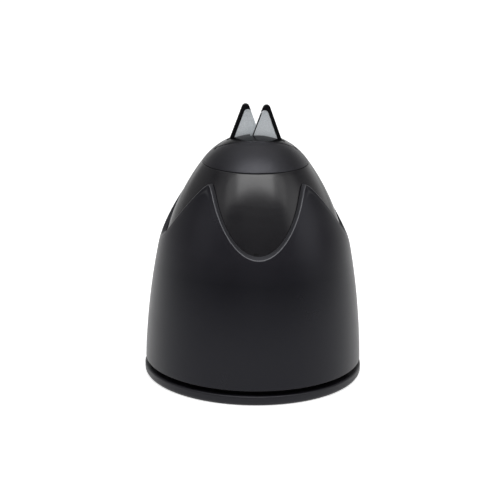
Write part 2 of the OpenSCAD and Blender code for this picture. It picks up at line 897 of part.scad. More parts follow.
module suction_stem() {
    color("#8a8d92")
        difference() {
            union() {
                translate([0, 0, base_bottom]) cylinder(r = stem_radius, h = stem_top - base_bottom);
                translate([0, 0, collar_bottom]) cylinder(r = stem_radius + collar_width, h = collar_thickness);
            }
            translate([-stem_radius - 1, 0, cross_pin_height])
                rotate([0, 90, 0]) cylinder(r = pin_radius + seated, h = 2 * stem_radius + 2);
            translate([0, 0, base_bottom - 1]) cylinder(r = stud_radius + seated, h = 1 + stud_length + hole_end);
            ring(stem_radius + 1, stem_radius - clip_groove, clip_bottom, clip_bottom + clip_thickness);
        }
}

module pad_insert() {
    color("#a9acb0") {
        translate([0, 0, insert_bottom]) cylinder(r = insert_radius, h = insert_thickness);
        translate([0, 0, base_bottom - eps]) cylinder(r = stud_radius, h = stud_length);
    }
}

module cross_pin() {
    color("#c9ccd0")
        translate([-cross_pin_half_length, 0, cross_pin_height])
            rotate([0, 90, 0]) cylinder(r = pin_radius, h = 2 * cross_pin_half_length);
}

module stem_clip() {
    color("#8d9095")
        difference() {
            ring(stem_radius + clip_width, stem_radius - clip_groove + seated,
                clip_bottom + seated, clip_bottom + clip_thickness - seated);
            translate([0, -stem_radius / 2, clip_bottom - 1])
                cube([2 * stem_radius, stem_radius, clip_thickness + 2]);
        }
}

module stem_spring() {
    turns = 4.5;
    spring_play = 1.2;
    steps = 18 * turns;
    coil = stem_radius + spring_play + stem_wire;
    low = collar_top + stem_wire + seated;
    high = guide_bottom - stem_wire - seated;
    path = [
        for (i = [0:steps])
            let (a = 360 * turns * i / steps) [coil * cos(a), coil * sin(a), low + (high - low) * i / steps]
    ];
    color("#9a9da2") wire(path, stem_wire, [1, 0, 0]);
}

suction_pad();
base_plate();
center_column();
column_screws();
inner_body();
body_screws();
top_cap();
cap_screws();
slot_insert();
arm_bracket();
bracket_screws();
left_pivot_pin();
right_pivot_pin();
pivot_clips();
pin_spacers();
left_arm_spring();
right_arm_spring();
stem_spring();
outer_sleeve();
cam_ring();
sleeve_screws();
suction_stem();
pad_insert();
cross_pin();
stem_clip();
left_arm();
right_arm();
left_plate();
right_plate();
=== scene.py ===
"""Looks of a table-top knife sharpener: a gloss dome in a satin sleeve with four scallops,
a matte cap with a lens-shaped insert, and two abrasive arms that cross in a V.
Everything is in metres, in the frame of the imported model: +Z up, the front faces -Y."""

import json
import math

import bmesh
import bpy
from mathutils import Matrix, Vector


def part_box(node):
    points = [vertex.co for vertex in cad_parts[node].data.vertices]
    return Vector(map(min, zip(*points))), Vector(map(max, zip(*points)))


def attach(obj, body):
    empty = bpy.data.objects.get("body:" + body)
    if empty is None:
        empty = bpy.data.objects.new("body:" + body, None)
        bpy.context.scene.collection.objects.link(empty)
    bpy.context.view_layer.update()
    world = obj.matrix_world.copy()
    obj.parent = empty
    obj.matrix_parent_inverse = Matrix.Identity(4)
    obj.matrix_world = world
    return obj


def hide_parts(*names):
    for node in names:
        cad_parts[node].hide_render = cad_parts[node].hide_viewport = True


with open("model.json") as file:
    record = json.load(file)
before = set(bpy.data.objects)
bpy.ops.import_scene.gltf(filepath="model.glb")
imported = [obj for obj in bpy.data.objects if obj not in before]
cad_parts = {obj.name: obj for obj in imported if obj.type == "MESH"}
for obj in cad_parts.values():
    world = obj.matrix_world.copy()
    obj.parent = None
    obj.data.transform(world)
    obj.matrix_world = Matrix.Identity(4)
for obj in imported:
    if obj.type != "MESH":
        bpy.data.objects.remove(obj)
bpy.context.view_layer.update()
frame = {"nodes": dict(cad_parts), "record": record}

MM = 0.001
NODES = frame["nodes"]

# ------------------------------------------------------------------ sizes

# The dome's outline is a side arc, a shoulder arc and a crown ball, each tangent to the next
SIDE_BOW = 287 * MM
SHOULDER_HEIGHT = 52.7 * MM
CROWN_RADIUS = 26.6 * MM
CROWN_HEIGHT = 101.1 * MM
DOME_WALL = 2 * MM
DOME_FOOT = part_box("inner_body")[0].z
SEAM_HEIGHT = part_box("inner_body")[1].z
DOME_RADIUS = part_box("inner_body")[1].x + SIDE_BOW - math.sqrt(SIDE_BOW**2 - DOME_FOOT**2)
SEAM_GAP = 0.15 * MM

# Sleeve
SLEEVE_GAP = 0.3 * MM
SLEEVE_WALL = 1.9 * MM
SLEEVE_OUTSIDE = SLEEVE_GAP + SLEEVE_WALL
SLEEVE_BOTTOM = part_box("outer_sleeve")[0].z
SCALLOPS = 4
RIM_HIGH = SEAM_HEIGHT - 4.8 * MM
SCALLOP_DEPTH = 26.4 * MM
RIM_SHARPNESS = 1.5
RIM_BEVEL = 1.4 * MM

# Pad and base
PAD_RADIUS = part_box("suction_pad")[1].x
PAD_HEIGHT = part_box("suction_pad")[1].z
BASE_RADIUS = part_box("base_plate")[1].x
BASE_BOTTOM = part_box("base_plate")[0].z

# Arms
TIP_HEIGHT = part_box("right_arm")[1].z
TIP_RADIUS = 1.6 * MM
TIP_OFFSET = 4.2 * MM
EDGE_ANGLE = math.radians(20)
ARM_GAP = 0.3 * MM
ARM_THICKNESS = 1.9 * MM
ARM_SWING = math.radians(6)
BORDER_WIDTH = 1.55 * MM
PLATE_TIP_RADIUS = 1.5 * MM
PLATE_RECESS = 0.1 * MM
PIVOT_HEIGHT = (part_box("right_pivot_pin")[0].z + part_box("right_pivot_pin")[1].z) / 2
PIVOT_OFFSET = (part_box("right_pivot_pin")[0].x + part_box("right_pivot_pin")[1].x) / 2


# ------------------------------------------------------------------ outline of the dome

SIDE_CENTRE = DOME_RADIUS - SIDE_BOW
SIDE_END = math.asin(SHOULDER_HEIGHT / SIDE_BOW)
CROWN_CENTRE = CROWN_HEIGHT - CROWN_RADIUS


def tangent_shoulder():
    """Centre, radius and last angle of the arc between the side arc and the crown ball."""
    nx, nz = math.cos(SIDE_END), math.sin(SIDE_END)
    dx = SIDE_CENTRE + SIDE_BOW * nx
    dz = SIDE_BOW * nz - CROWN_CENTRE
    radius = (dx * dx + dz * dz - CROWN_RADIUS**2) / (2 * (dx * nx + dz * nz - CROWN_RADIUS))
    centre = (SIDE_CENTRE + (SIDE_BOW - radius) * nx, (SIDE_BOW - radius) * nz)
    end = math.atan2(CROWN_CENTRE - centre[1], -centre[0])
    return centre, radius, end


SHOULDER_CENTRE, SHOULDER_RADIUS, SHOULDER_END = tangent_shoulder()


def dome_r(z, d=0):
    """Radius at height z of the dome's outline moved outwards by d."""
    if z <= (SIDE_BOW + d) * math.sin(SIDE_END):
        return SIDE_CENTRE + math.sqrt((SIDE_BOW + d) ** 2 - z * z)
    if z <= SHOULDER_CENTRE[1] + (SHOULDER_RADIUS + d) * math.sin(SHOULDER_END):
        return SHOULDER_CENTRE[0] + math.sqrt((SHOULDER_RADIUS + d) ** 2 - (z - SHOULDER_CENTRE[1]) ** 2)
    return math.sqrt(max(0.0, (CROWN_RADIUS + d) ** 2 - (z - CROWN_CENTRE) ** 2))


def crown_z(x, y, radius=CROWN_RADIUS):
    """Height of a ball around the crown's centre above a point."""
    return CROWN_CENTRE + math.sqrt(radius**2 - x * x - y * y)


def dome_points(low, high, d, steps):
    """Points of (radius, height) on the dome's outline moved outwards by d."""
    return [(dome_r(z, d), z) for z in (low + (high - low) * i / steps for i in range(steps + 1))]


# Cap and insert
SPIGOT_RADIUS = dome_r(SEAM_HEIGHT, -DOME_WALL) - 0.06 * MM
SPIGOT_WALL = 1.6 * MM
LENS_LENGTH = SPIGOT_RADIUS - SPIGOT_WALL - 1.7 * MM
LENS_WIDTH = 8.3 * MM
LENS_LEAD = 1.2 * MM
LENS_GAP = 0.15 * MM
LENS_STEPS = 96
NOTCH_RADIUS = 0.75 * MM


# ------------------------------------------------------------------ mesh helpers

def finish_mesh(name, bm, sharp=40):
    """Mesh object from bmesh, welded, turned outwards and smooth except along sharp edges."""
    bmesh.ops.remove_doubles(bm, verts=bm.verts, dist=1e-7)
    bmesh.ops.recalc_face_normals(bm, faces=bm.faces)
    # Welding leaves the faces it touches in another order in each run, so all are put in order
    bm.verts.index_update()
    count = len(bm.verts)
    bm.faces.sort(key=lambda face: face.verts[0].index * count + face.verts[2].index)
    mesh = bpy.data.meshes.new(name)
    bm.to_mesh(mesh)
    bm.free()
    mesh.shade_smooth()
    mesh.set_sharp_from_angle(angle=math.radians(sharp))
    piece = bpy.data.objects.new(name, mesh)
    bpy.context.scene.collection.objects.link(piece)
    return piece


def place(piece, body, slot, material, *replaced):
    """The piece rides on its body, takes its material and stands for CAD nodes."""
    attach(piece, body)
    if replaced:
        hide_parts(*replaced)
    piece.data.materials.clear()
    piece.data.materials.append(material)


def fillet(corners, steps):
    """A closed outline with its corners rounded: each corner comes as a point and a radius."""
    rounded = []
    for i, (point, radius) in enumerate(corners):
        corner = Vector(point)
        if radius == 0:
            rounded.append(tuple(corner))
            continue
        before = (Vector(corners[i - 1][0]) - corner).normalized()
        after = (Vector(corners[(i + 1) % len(corners)][0]) - corner).normalized()
        half = before.angle(after) / 2
        reach = radius / math.tan(half)
        centre = corner + (before + after).normalized() * radius / math.sin(half)
        start = corner + before * reach - centre
        end = corner + after * reach - centre
        for k in range(steps + 1):
            step = start.lerp(end, k / steps).normalized() * radius
            rounded.append(tuple(centre + step))
    return rounded


def bridge(bm, ring_a, ring_b):
    """Quads between two closed rings of as many vertices."""
    count = len(ring_a)
    for i in range(count):
        j = (i + 1) % count
        bm.faces.new((ring_a[i], ring_a[j], ring_b[j], ring_b[i]))


def add_rings(bm, rings):
    """Skins rings of points, one after another, and joins the last one to the first."""
    made = [[bm.verts.new(p) for p in ring] for ring in rings]
    for a, b in zip(made, made[1:]):
        bridge(bm, a, b)
    bridge(bm, made[-1], made[0])
    return made


def add_lathe(bm, outline, count=192, centre=(0, 0)):
    """Turns a closed outline of (radius, height) around the vertical through centre."""
    rings = []
    for radius, z in outline:
        rings.append([
            (centre[0] + radius * math.cos(2 * math.pi * i / count),
             centre[1] + radius * math.sin(2 * math.pi * i / count), z)
            for i in range(count)
        ])
    return add_rings(bm, rings)


def add_prism(bm, outline, near, far, bevel=0):
    """A plate drawn in X and Z between two values of Y, with its edges bevelled."""
    front = [bm.verts.new((x, near, z)) for x, z in outline]
    back = [bm.verts.new((x, far, z)) for x, z in outline]
    faces = [bm.faces.new(front), bm.faces.new(back)]
    bridge(bm, front, back)
    if bevel:
        edges = [edge for face in faces for edge in face.edges]
        bmesh.ops.bevel(bm, geom=edges, offset=bevel, segments=2, profile=0.5,
                        affect="EDGES", clamp_overlap=True)


def arc(centre, radius, a, b, steps):
    """Points on an arc from angle a to angle b."""
    angles = [a + (b - a) * i / steps for i in range(steps + 1)]
    return [(centre[0] + radius * math.cos(t), centre[1] + radius * math.sin(t)) for t in angles]


def bezier(a, corner, b, steps):
    """Points on a curve from a to b that rounds off the corner between them."""
    return [a.lerp(corner, t).lerp(corner.lerp(b, t), t) for t in (i / steps for i in range(steps + 1))]


# ------------------------------------------------------------------ materials

def nodes_of(name):
    """A new material, its node tree and its surface node."""
    material = bpy.data.materials.new(name)
    material.use_nodes = True
    tree = material.node_tree
    return material, tree, tree.nodes["Principled BSDF"]


def link(tree, a, out, b, into):
    """Joins the output out of node a to the input into of node b."""
    tree.links.new(a.outputs[out], b.inputs[into])


def noise(tree, scale, detail, roughness=0.5, stretch=(1, 1, 1)):
    """Noise on the piece's own coordinates, at scale features a metre."""
    coordinates = tree.nodes.new("ShaderNodeTexCoord")
    mapping = tree.nodes.new("ShaderNodeMapping")
    mapping.inputs["Scale"].default_value = stretch
    texture = tree.nodes.new("ShaderNodeTexNoise")
    texture.inputs["Scale"].default_value = scale
    texture.inputs["Detail"].default_value = detail
    texture.inputs["Roughness"].default_value = roughness
    link(tree, coordinates, "Object", mapping, "Vector")
    link(tree, mapping, "Vector", texture, "Vector")
    return texture


def ranged(tree, texture, low, high):
    """Values from low to high, spread over the middle of a noise's range."""
    node = tree.nodes.new("ShaderNodeMapRange")
    node.inputs["From Min"].default_value = 0.3
    node.inputs["From Max"].default_value = 0.7
    node.inputs["To Min"].default_value = low
    node.inputs["To Max"].default_value = high
    link(tree, texture, "Fac", node, "Value")
    return node


def tinted(tree, texture, dark, light):
    """Colours from dark to light, spread over the middle of a noise's range."""
    ramp = tree.nodes.new("ShaderNodeValToRGB")
    ramp.color_ramp.elements[0].position = 0.35
    ramp.color_ramp.elements[0].color = (*dark, 1)
    ramp.color_ramp.elements[1].position = 0.65
    ramp.color_ramp.elements[1].color = (*light, 1)
    link(tree, texture, "Fac", ramp, "Fac")
    return ramp


def bumped(tree, shader, texture, depth):
    """Gives the surface a grain of a depth."""
    node = tree.nodes.new("ShaderNodeBump")
    node.inputs["Strength"].default_value = 1.0
    node.inputs["Distance"].default_value = depth
    link(tree, texture, "Fac", node, "Height")
    link(tree, node, "Normal", shader, "Normal")


def blend(tree, amount, out, a, b):
    """Colour a where the amount is 0, and b where it is 1."""
    node = tree.nodes.new("ShaderNodeMixRGB")
    link(tree, amount, out, node, "Fac")
    link(tree, a, "Color", node, "Color1")
    link(tree, b, "Color", node, "Color2")
    return node


def grey(tree, level):
    """A plain grey."""
    node = tree.nodes.new("ShaderNodeRGB")
    node.outputs["Color"].default_value = (level, level, level, 1)
    return node


def levels(tree, value, out, stops):
    """Grey levels at positions from 0 to 1 along a node's output."""
    ramp = tree.nodes.new("ShaderNodeValToRGB")
    first, last = ramp.color_ramp.elements
    first.position, last.position = stops[0][0], stops[-1][0]
    for element, (_, level) in ((first, stops[0]), (last, stops[-1])):
        element.color = (level, level, level, 1)
    for position, level in stops[1:-1]:
        ramp.color_ramp.elements.new(position).color = (level, level, level, 1)
    link(tree, value, out, ramp, "Fac")
    return ramp


def share(tree, value, out, low, high):
    """How far a node's output is on its way from low, where this is 0, to high, where it is 1."""
    node = tree.nodes.new("ShaderNodeMapRange")
    node.inputs["From Min"].default_value = low
    node.inputs["From Max"].default_value = high
    link(tree, value, out, node, "Value")
    return node


def height_share(tree, low, high):
    """0 at a height low on the piece and 1 at a height high."""
    coordinates = tree.nodes.new("ShaderNodeTexCoord")
    parts = tree.nodes.new("ShaderNodeSeparateXYZ")
    link(tree, coordinates, "Object", parts, "Vector")
    return share(tree, parts, "Z", low, high)


def ray_kinds(tree):
    """The light path node, and a node that is 1 for rays that a surface reflects or lets through."""
    rays = tree.nodes.new("ShaderNodeLightPath")
    bent = tree.nodes.new("ShaderNodeMath")
    bent.operation = "MAXIMUM"
    link(tree, rays, "Is Glossy Ray", bent, 0)
    link(tree, rays, "Is Transmission Ray", bent, 1)
    return rays, bent


def scaled(color, factor):
    """A colour made darker or lighter."""
    return tuple(min(1.0, c * factor) for c in color)


# Dark plastic reflects a little bluish
COOL_SHEEN = (0.9, 0.91, 1, 1)


def moulded(name, color, roughness, grain, depth, spread=0.15, patch=70, sway=0.05, specular=0.5):
    """Moulded plastic: fine grain in its surface, and soft patches in its colour and gloss."""
    material, tree, shader = nodes_of(name)
    shader.inputs["Specular IOR Level"].default_value = specular
    shader.inputs["Specular Tint"].default_value = COOL_SHEEN
    patches = noise(tree, patch, 4)
    link(tree, tinted(tree, patches, scaled(color, 1 - spread), scaled(color, 1 + spread)), "Color",
         shader, "Base Color")
    link(tree, ranged(tree, patches, roughness - sway, roughness + sway), "Result", shader, "Roughness")
    bumped(tree, shader, noise(tree, grain, 3, 0.6), depth)
    return material


def facing_out(tree):
    """How squarely a face looks away from the axis: 1 on an upright wall, less on the sleeve's rim."""
    coordinates = tree.nodes.new("ShaderNodeTexCoord")
    level = tree.nodes.new("ShaderNodeVectorMath")
    level.operation = "MULTIPLY"
    level.inputs[1].default_value = (1, 1, 0)
    link(tree, coordinates, "Object", level, 0)
    radial = tree.nodes.new("ShaderNodeVectorMath")
    radial.operation = "NORMALIZE"
    link(tree, level, "Vector", radial, 0)
    facing = tree.nodes.new("ShaderNodeVectorMath")
    facing.operation = "DOT_PRODUCT"
    link(tree, radial, "Vector", facing, 0)
    link(tree, coordinates, "Normal", facing, 1)
    return facing


def satin_sleeve():
    """Satin moulded plastic with painted light: a paler painted sheen around the scallops, a painted
    highlight on the rim and a brighter painted highlight line along its outer bend.
    """
    material, tree, shader = nodes_of("sleeve_satin")
    shader.inputs["Specular IOR Level"].default_value = 0.32
    shader.inputs["Specular Tint"].default_value = COOL_SHEEN
    patches = noise(tree, 45, 4)
    # The sleeve's own dark colour is the low one; the three paler colours below are painted light
    low = tinted(tree, patches, (0.0023, 0.0021, 0.0040), (0.0026, 0.0024, 0.0045))
    # Painted sheen: a paler colour around the scallops' height, where light falls on the sleeve
    high = tinted(tree, patches, (0.0110, 0.0103, 0.0135), (0.0125, 0.0118, 0.0150))
    # Painted highlight on the rim's band
    face = tinted(tree, patches, (0.021, 0.021, 0.024), (0.025, 0.025, 0.028))
    # Painted highlight line on the rim's outer bend
    bend = tinted(tree, patches, (0.105, 0.105, 0.110), (0.130, 0.130, 0.135))
    height = height_share(tree, RIM_HIGH - SCALLOP_DEPTH - 10 * MM, RIM_HIGH - 1 * MM)
    # Where the painted sheen shows, by height
    upper = levels(tree, height, "Result", ((0, 0), (0.3, 1), (0.65, 0.8), (1, 0.1)))
    facing = facing_out(tree)
    # Where the painted rim highlight shows: faces that tilt away from upright
    painted_rim_light_mask = share(tree, facing, "Value", 0.86, 0.6)
    # Where the painted highlight line shows: the rim's outer bend
    painted_edge_highlight_mask = levels(tree, facing, "Value", ((0.55, 0), (0.72, 1), (0.86, 0)))
    color = blend(tree, upper, "Color", low, high)
    color = blend(tree, painted_rim_light_mask, "Result", color, face)
    color = blend(tree, painted_edge_highlight_mask, "Color", color, bend)
    link(tree, color, "Color", shader, "Base Color")
    link(tree, ranged(tree, patches, 0.27, 0.33), "Result", shader, "Roughness")
    bumped(tree, shader, noise(tree, 5200, 3, 0.6), 0.012 * MM)
    return material


def brushed(name, color, roughness, stretch):
    """Drawn or brushed steel, with fine lines along the axis of least stretch."""
    material, tree, shader = nodes_of(name)
    shader.inputs["Metallic"].default_value = 1.0
    lines = noise(tree, 900, 4, 0.6, stretch)
    link(tree, tinted(tree, lines, scaled(color, 0.8), scaled(color, 1.15)), "Color",
         shader, "Base Color")
    link(tree, ranged(tree, lines, roughness - 0.08, roughness + 0.12), "Result", shader, "Roughness")
    bumped(tree, shader, lines, 0.01 * MM)
    return material


def gloss_body():
    """Polished moulded plastic: slight orange peel, fine scuffs around the axis and soft patches."""
    material, tree, shader = nodes_of("body_gloss")
    shader.inputs["Specular IOR Level"].default_value = 0.5
    patches = tinted(tree, noise(tree, 120, 4), (0.0060, 0.0055, 0.0075), (0.0080, 0.0075, 0.0095))
    link(tree, patches, "Color", shader, "Base Color")
    scuffs = noise(tree, 260, 6, 0.7, (0.15, 0.15, 6))
    link(tree, ranged(tree, scuffs, 0.16, 0.24), "Result", shader, "Roughness")
    bumped(tree, shader, noise(tree, 420, 2), 0.008 * MM)
    return material


def abrasive():
    """Pale abrasive plate: bonded grit with a fine sparkle, a little brighter towards its foot."""
    material, tree, shader = nodes_of("abrasive_plate")
    shader.inputs["Specular IOR Level"].default_value = 0.4
    grit = noise(tree, 2600, 4, 0.7)
    height = height_share(tree, CROWN_HEIGHT - 2 * MM, TIP_HEIGHT - 3 * MM)
    foot = tinted(tree, grit, (0.66, 0.70, 0.73), (0.84, 0.88, 0.91))
    head = tinted(tree, grit, (0.36, 0.38, 0.40), (0.54, 0.57, 0.60))
    link(tree, blend(tree, height, "Result", foot, head), "Color", shader, "Base Color")
    link(tree, ranged(tree, grit, 0.5, 0.75), "Result", shader, "Roughness")
    bumped(tree, shader, noise(tree, 5200, 3, 0.7), 0.04 * MM)
    return material


def make_materials():
    """One material for each material slot of the record."""
    return {
        "sleeve_satin": satin_sleeve(),
        "body_gloss": gloss_body(),
        "abrasive_plate": abrasive(),
        "cap_matte": moulded("cap_matte", (0.008, 0.0075, 0.0095), 0.33, 2600, 0.08 * MM,
                             spread=0.2, patch=1500, sway=0.04, specular=0.45),
        "insert_matte": moulded("insert_matte", (0.003, 0.0028, 0.0034), 0.2, 4200, 0.01 * MM,
                                spread=0.1, patch=200, sway=0.04, specular=0.36),
        "holder_black": moulded("holder_black", (0.002, 0.002, 0.0025), 0.4, 4200, 0.015 * MM,
                                spread=0.1, patch=300, specular=0.08),
        "pad_rubber": moulded("pad_rubber", (0.005, 0.0045, 0.006), 0.4, 3000, 0.02 * MM,
                              patch=160, specular=0.4),
        "base_plastic": moulded("base_plastic", (0.003, 0.003, 0.003), 0.6, 3000, 0.02 * MM,
                                specular=0.2),
        "frame_plastic": moulded("frame_plastic", (0.15, 0.15, 0.16), 0.42, 3000, 0.02 * MM),
        "spacer_plastic": moulded("spacer_plastic", (0.68, 0.68, 0.63), 0.4, 3000, 0.02 * MM,
                                  spread=0.05),
        "steel": brushed("steel", (0.60, 0.60, 0.61), 0.3, (1, 1, 0.08)),
        "bracket_steel": brushed("bracket_steel", (0.52, 0.52, 0.53), 0.34, (0.05, 1, 1)),
        "spring_steel": brushed("spring_steel", (0.42, 0.42, 0.43), 0.28, (1, 1, 1)),
    }


# ------------------------------------------------------------------ sleeve

def rim_dip(angle):
    """How far the rim dips at an angle around the axis: 1 at a scallop's bottom, 0 at a tip."""
    return abs(math.cos(SCALLOPS / 2 * (angle + math.pi / 2))) ** RIM_SHARPNESS


def rim_z(angle):
    """Height of the sleeve's outer rim at an angle around the axis, lowest at the front."""
    return RIM_HIGH - SCALLOP_DEPTH * rim_dip(angle)


def on_dome(angle, z, d):
    """The point at an angle and a height on the dome's outline moved outwards by d."""
    radius = dome_r(z, d)
    return Vector((radius * math.cos(angle), radius * math.sin(angle), z))


def outer_edge(angle):
    """The rim's outer edge, before its rounding."""
    return on_dome(angle, rim_z(angle), SLEEVE_OUTSIDE)


def inner_edge(angle):
    """The rim's inner edge, before its rounding. It stands above the outer one inside the scallops."""
    return on_dome(angle, rim_z(angle) + RIM_BEVEL * rim_dip(angle), SLEEVE_GAP)


def sleeve_wall(angle, start, low, d, rows):
    """Rows from just below the rim down to a height, which leave the rim's direction gently."""
    begin = math.atan2(start.y, start.x)
    swerve = (angle - begin + math.pi) % (2 * math.pi) - math.pi
    listed = []
    for i in range(1, rows + 1):
        t = i / rows
        z = start.z + (low - start.z) * t
        listed.append(on_dome(begin + swerve * min(1, 3 * t), z, d))
    return listed


def downwards(vector):
    """The vector, or its opposite if it points up."""
    return -vector if vector.z > 0 else vector


def sleeve_section(angle, step):
    """One section of the sleeve: up the outside, over the rounded rim, down the inside."""
    round_out, round_in, round_foot = 0.75 * MM, 0.2 * MM, 0.35 * MM
    edge, inner = outer_edge(angle), inner_edge(angle)
    along = (outer_edge(angle + step) - outer_edge(angle - step)).normalized()
    inner_along = (inner_edge(angle + step) - inner_edge(angle - step)).normalized()
    out = on_dome(angle, edge.z, SLEEVE_OUTSIDE + MM) - on_dome(angle, edge.z, SLEEVE_OUTSIDE)
    radial = Vector((math.cos(angle), math.sin(angle), 0))
    down = downwards(along.cross(out.normalized()))
    inner_down = downwards(inner_along.cross(radial))
    across = inner - edge
    across = (across - across.dot(along) * along).normalized()
    over = bezier(edge + down * round_out, edge, edge + across * round_out, 5)
    back = bezier(inner - across * round_in, inner, inner + inner_down.normalized() * round_in, 3)

    low = SLEEVE_BOTTOM + round_foot
    outer_rows = sleeve_wall(angle, over[0], low, SLEEVE_OUTSIDE, 44)
    inner_rows = sleeve_wall(angle, back[-1], low, SLEEVE_GAP, 30)
    corner_out = on_dome(angle, SLEEVE_BOTTOM, SLEEVE_OUTSIDE)
    corner_in = on_dome(angle, SLEEVE_BOTTOM, SLEEVE_GAP)
    foot = bezier(outer_rows[-1], corner_out, corner_out - radial * round_foot, 4)
    heel = bezier(corner_in + radial * round_foot, corner_in, inner_rows[-1], 4)
    return over + back + inner_rows[:-1] + heel[::-1] + foot[::-1] + outer_rows[-2::-1]


def make_sleeve(materials):
    """The satin sleeve with its four scallops."""
    count = 120 * SCALLOPS
    step = 2 * math.pi / count
    bm = bmesh.new()
    sections = [sleeve_section(i * step, step / 2) for i in range(count)]
    add_rings(bm, [list(ring) for ring in zip(*sections)])
    piece = finish_mesh("satin_sleeve", bm, 60)
    place(piece, "sleeve", "sleeve_satin", materials["sleeve_satin"], "outer_sleeve")


# ------------------------------------------------------------------ dome and cap

def make_dome(materials):
    """The gloss dome with its floor, its ledge and the rounded edge at the cap's seam."""
    count = 240
    inside = -DOME_WALL
    edge = 0.3 * MM
    ledge_top = SEAM_HEIGHT - 6.7 * MM
    ledge_low = ledge_top - 2 * MM
    ledge_opening = SPIGOT_RADIUS - 5.1 * MM
    floor_low, floor_top, floor_hole = 40 * MM, 42.5 * MM, 1 * MM
    # A small index mark is sunk into the wall, just above the front scallop's bottom
    mark_low = rim_z(-math.pi / 2) + 1.7 * MM
    mark_high = mark_low + 0.7 * MM
    mark_clear, mark_slope, mark_depth = 0.5 * MM, 0.06 * MM, 0.6 * MM
    # Where the mark starts, as a share of a turn from +X
    mark_turn = 0.7425

    wall = []
    for point in dome_points(DOME_FOOT, SEAM_HEIGHT - edge, 0, 72):
        if not mark_low - mark_clear < point[1] < mark_high + mark_clear:
            wall.append(point)
    wall += [(dome_r(z), z) for z in (mark_low, mark_high)]
    wall.sort(key=lambda point: point[1])
    top = [Vector((dome_r(SEAM_HEIGHT - edge), SEAM_HEIGHT - edge)),
           Vector((dome_r(SEAM_HEIGHT), SEAM_HEIGHT)),
           Vector((dome_r(SEAM_HEIGHT) - edge, SEAM_HEIGHT))]
    outline = wall + [tuple(p) for p in bezier(*top, 4)][1:]
    outline += dome_points(SEAM_HEIGHT, ledge_top, inside, 6)
    outline += [(ledge_opening, ledge_top), (ledge_opening, ledge_low)]
    outline += dome_points(ledge_low, floor_top, inside, 24)
    outline += [(floor_hole, floor_top), (floor_hole, floor_low)]
    outline += dome_points(floor_low, DOME_FOOT, inside, 16)
    bm = bmesh.new()
    rings = add_lathe(bm, outline, count)

    row = next(i for i, point in enumerate(wall) if point[1] == mark_low)
    first = round(count * mark_turn)
    corners = {rings[row + i][first + k] for i in (0, 1) for k in (0, 1, 2)}
    mark = [face for face in bm.faces if corners.issuperset(face.verts)]
    bmesh.ops.recalc_face_normals(bm, faces=bm.faces)
    bmesh.ops.inset_region(bm, faces=mark, thickness=mark_slope, depth=-mark_depth)
    piece = finish_mesh("gloss_dome", bm)
    place(piece, "body", "body_gloss", materials["body_gloss"], "inner_body")


def lens_outline(margin):
    """Points round a lens, a margin wider than the insert, from its right tip, counter-clockwise."""
    length, width = LENS_LENGTH + margin, LENS_WIDTH + margin
    outline = []
    for side, rise in ((1, width + LENS_LEAD), (-1, width - LENS_LEAD)):
        radius = (length**2 + rise**2) / (2 * rise)
        reach = math.asin(length / radius)
        middle = side * math.pi / 2
        centre = (0, side * (width - radius))
        outline += arc(centre, radius, middle - reach, middle + reach, LENS_STEPS)[:-1]
    return outline


def notched(outline):
    """The cap's opening, with a small round notch at each of the lens's tips."""
    tip = LENS_LENGTH + LENS_GAP
    near, half_width = tip - 0.5 * NOTCH_RADIUS, 0.7 * NOTCH_RADIUS
    half_turn, steps = 0.7 * math.pi, 12
    cut = []
    for i, (x, y) in enumerate(outline):
        if abs(x) <= near or abs(y + LENS_LEAD) >= half_width:
            cut.append((x, y))
        elif i in (0, LENS_STEPS):
            side = 1 if x > 0 else -1
            begin = -half_turn if side > 0 else math.pi - half_turn
            for k in range(steps + 1):
                a = begin + 2 * half_turn * k / steps
                cut.append((side * tip + NOTCH_RADIUS * math.cos(a),
                            NOTCH_RADIUS * math.sin(a) - LENS_LEAD))
    return cut


def even_angles(outline):
    """Angles around the axis of an outline's points, evened out where it turns back at a notch."""
    window = 7
    angles = [math.atan2(y, x) for x, y in outline]
    even = []
    for i, a in enumerate(angles):
        near = [angles[(i + k) % len(angles)] for k in range(-window, window + 1)]
        even.append(a + sum((b - a + math.pi) % (2 * math.pi) - math.pi for b in near) / len(near))
    return even


def grown(outline, distance):
    """An outline moved outwards along its own normals, sharp corners included."""
    count = len(outline)
    moved = []
    for i in range(count):
        before, here, after = (Vector(outline[k % count]) for k in (i - 1, i, i + 1))
        a = (here - before).normalized()
        b = (after - here).normalized()
        na, nb = Vector((a.y, -a.x)), Vector((b.y, -b.x))
        mitre = (na + nb).normalized()
        moved.append(tuple(here + mitre * distance / max(0.5, mitre.dot(na))))
    return moved


def between(ring, other, t):
    """A flat ring, a share t of the way from one to another."""
    return [(a[0] + (b[0] - a[0]) * t, a[1] + (b[1] - a[1]) * t) for a, b in zip(ring, other)]


def on_ball(ring, radius):
    """A flat ring lifted onto a ball around the crown's centre."""
    return [Vector((x, y, crown_z(x, y, radius))) for x, y in ring]


def lowered(ring, depth):
    """A ring moved down."""
    return [p - Vector((0, 0, depth)) for p in ring]


def rounding(ring, corners, other, steps):
    """Rings from one to another, both included, round the corner between them."""
    curves = [bezier(*points, steps) for points in zip(ring, corners, other)]
    return [list(ring) for ring in zip(*curves)]


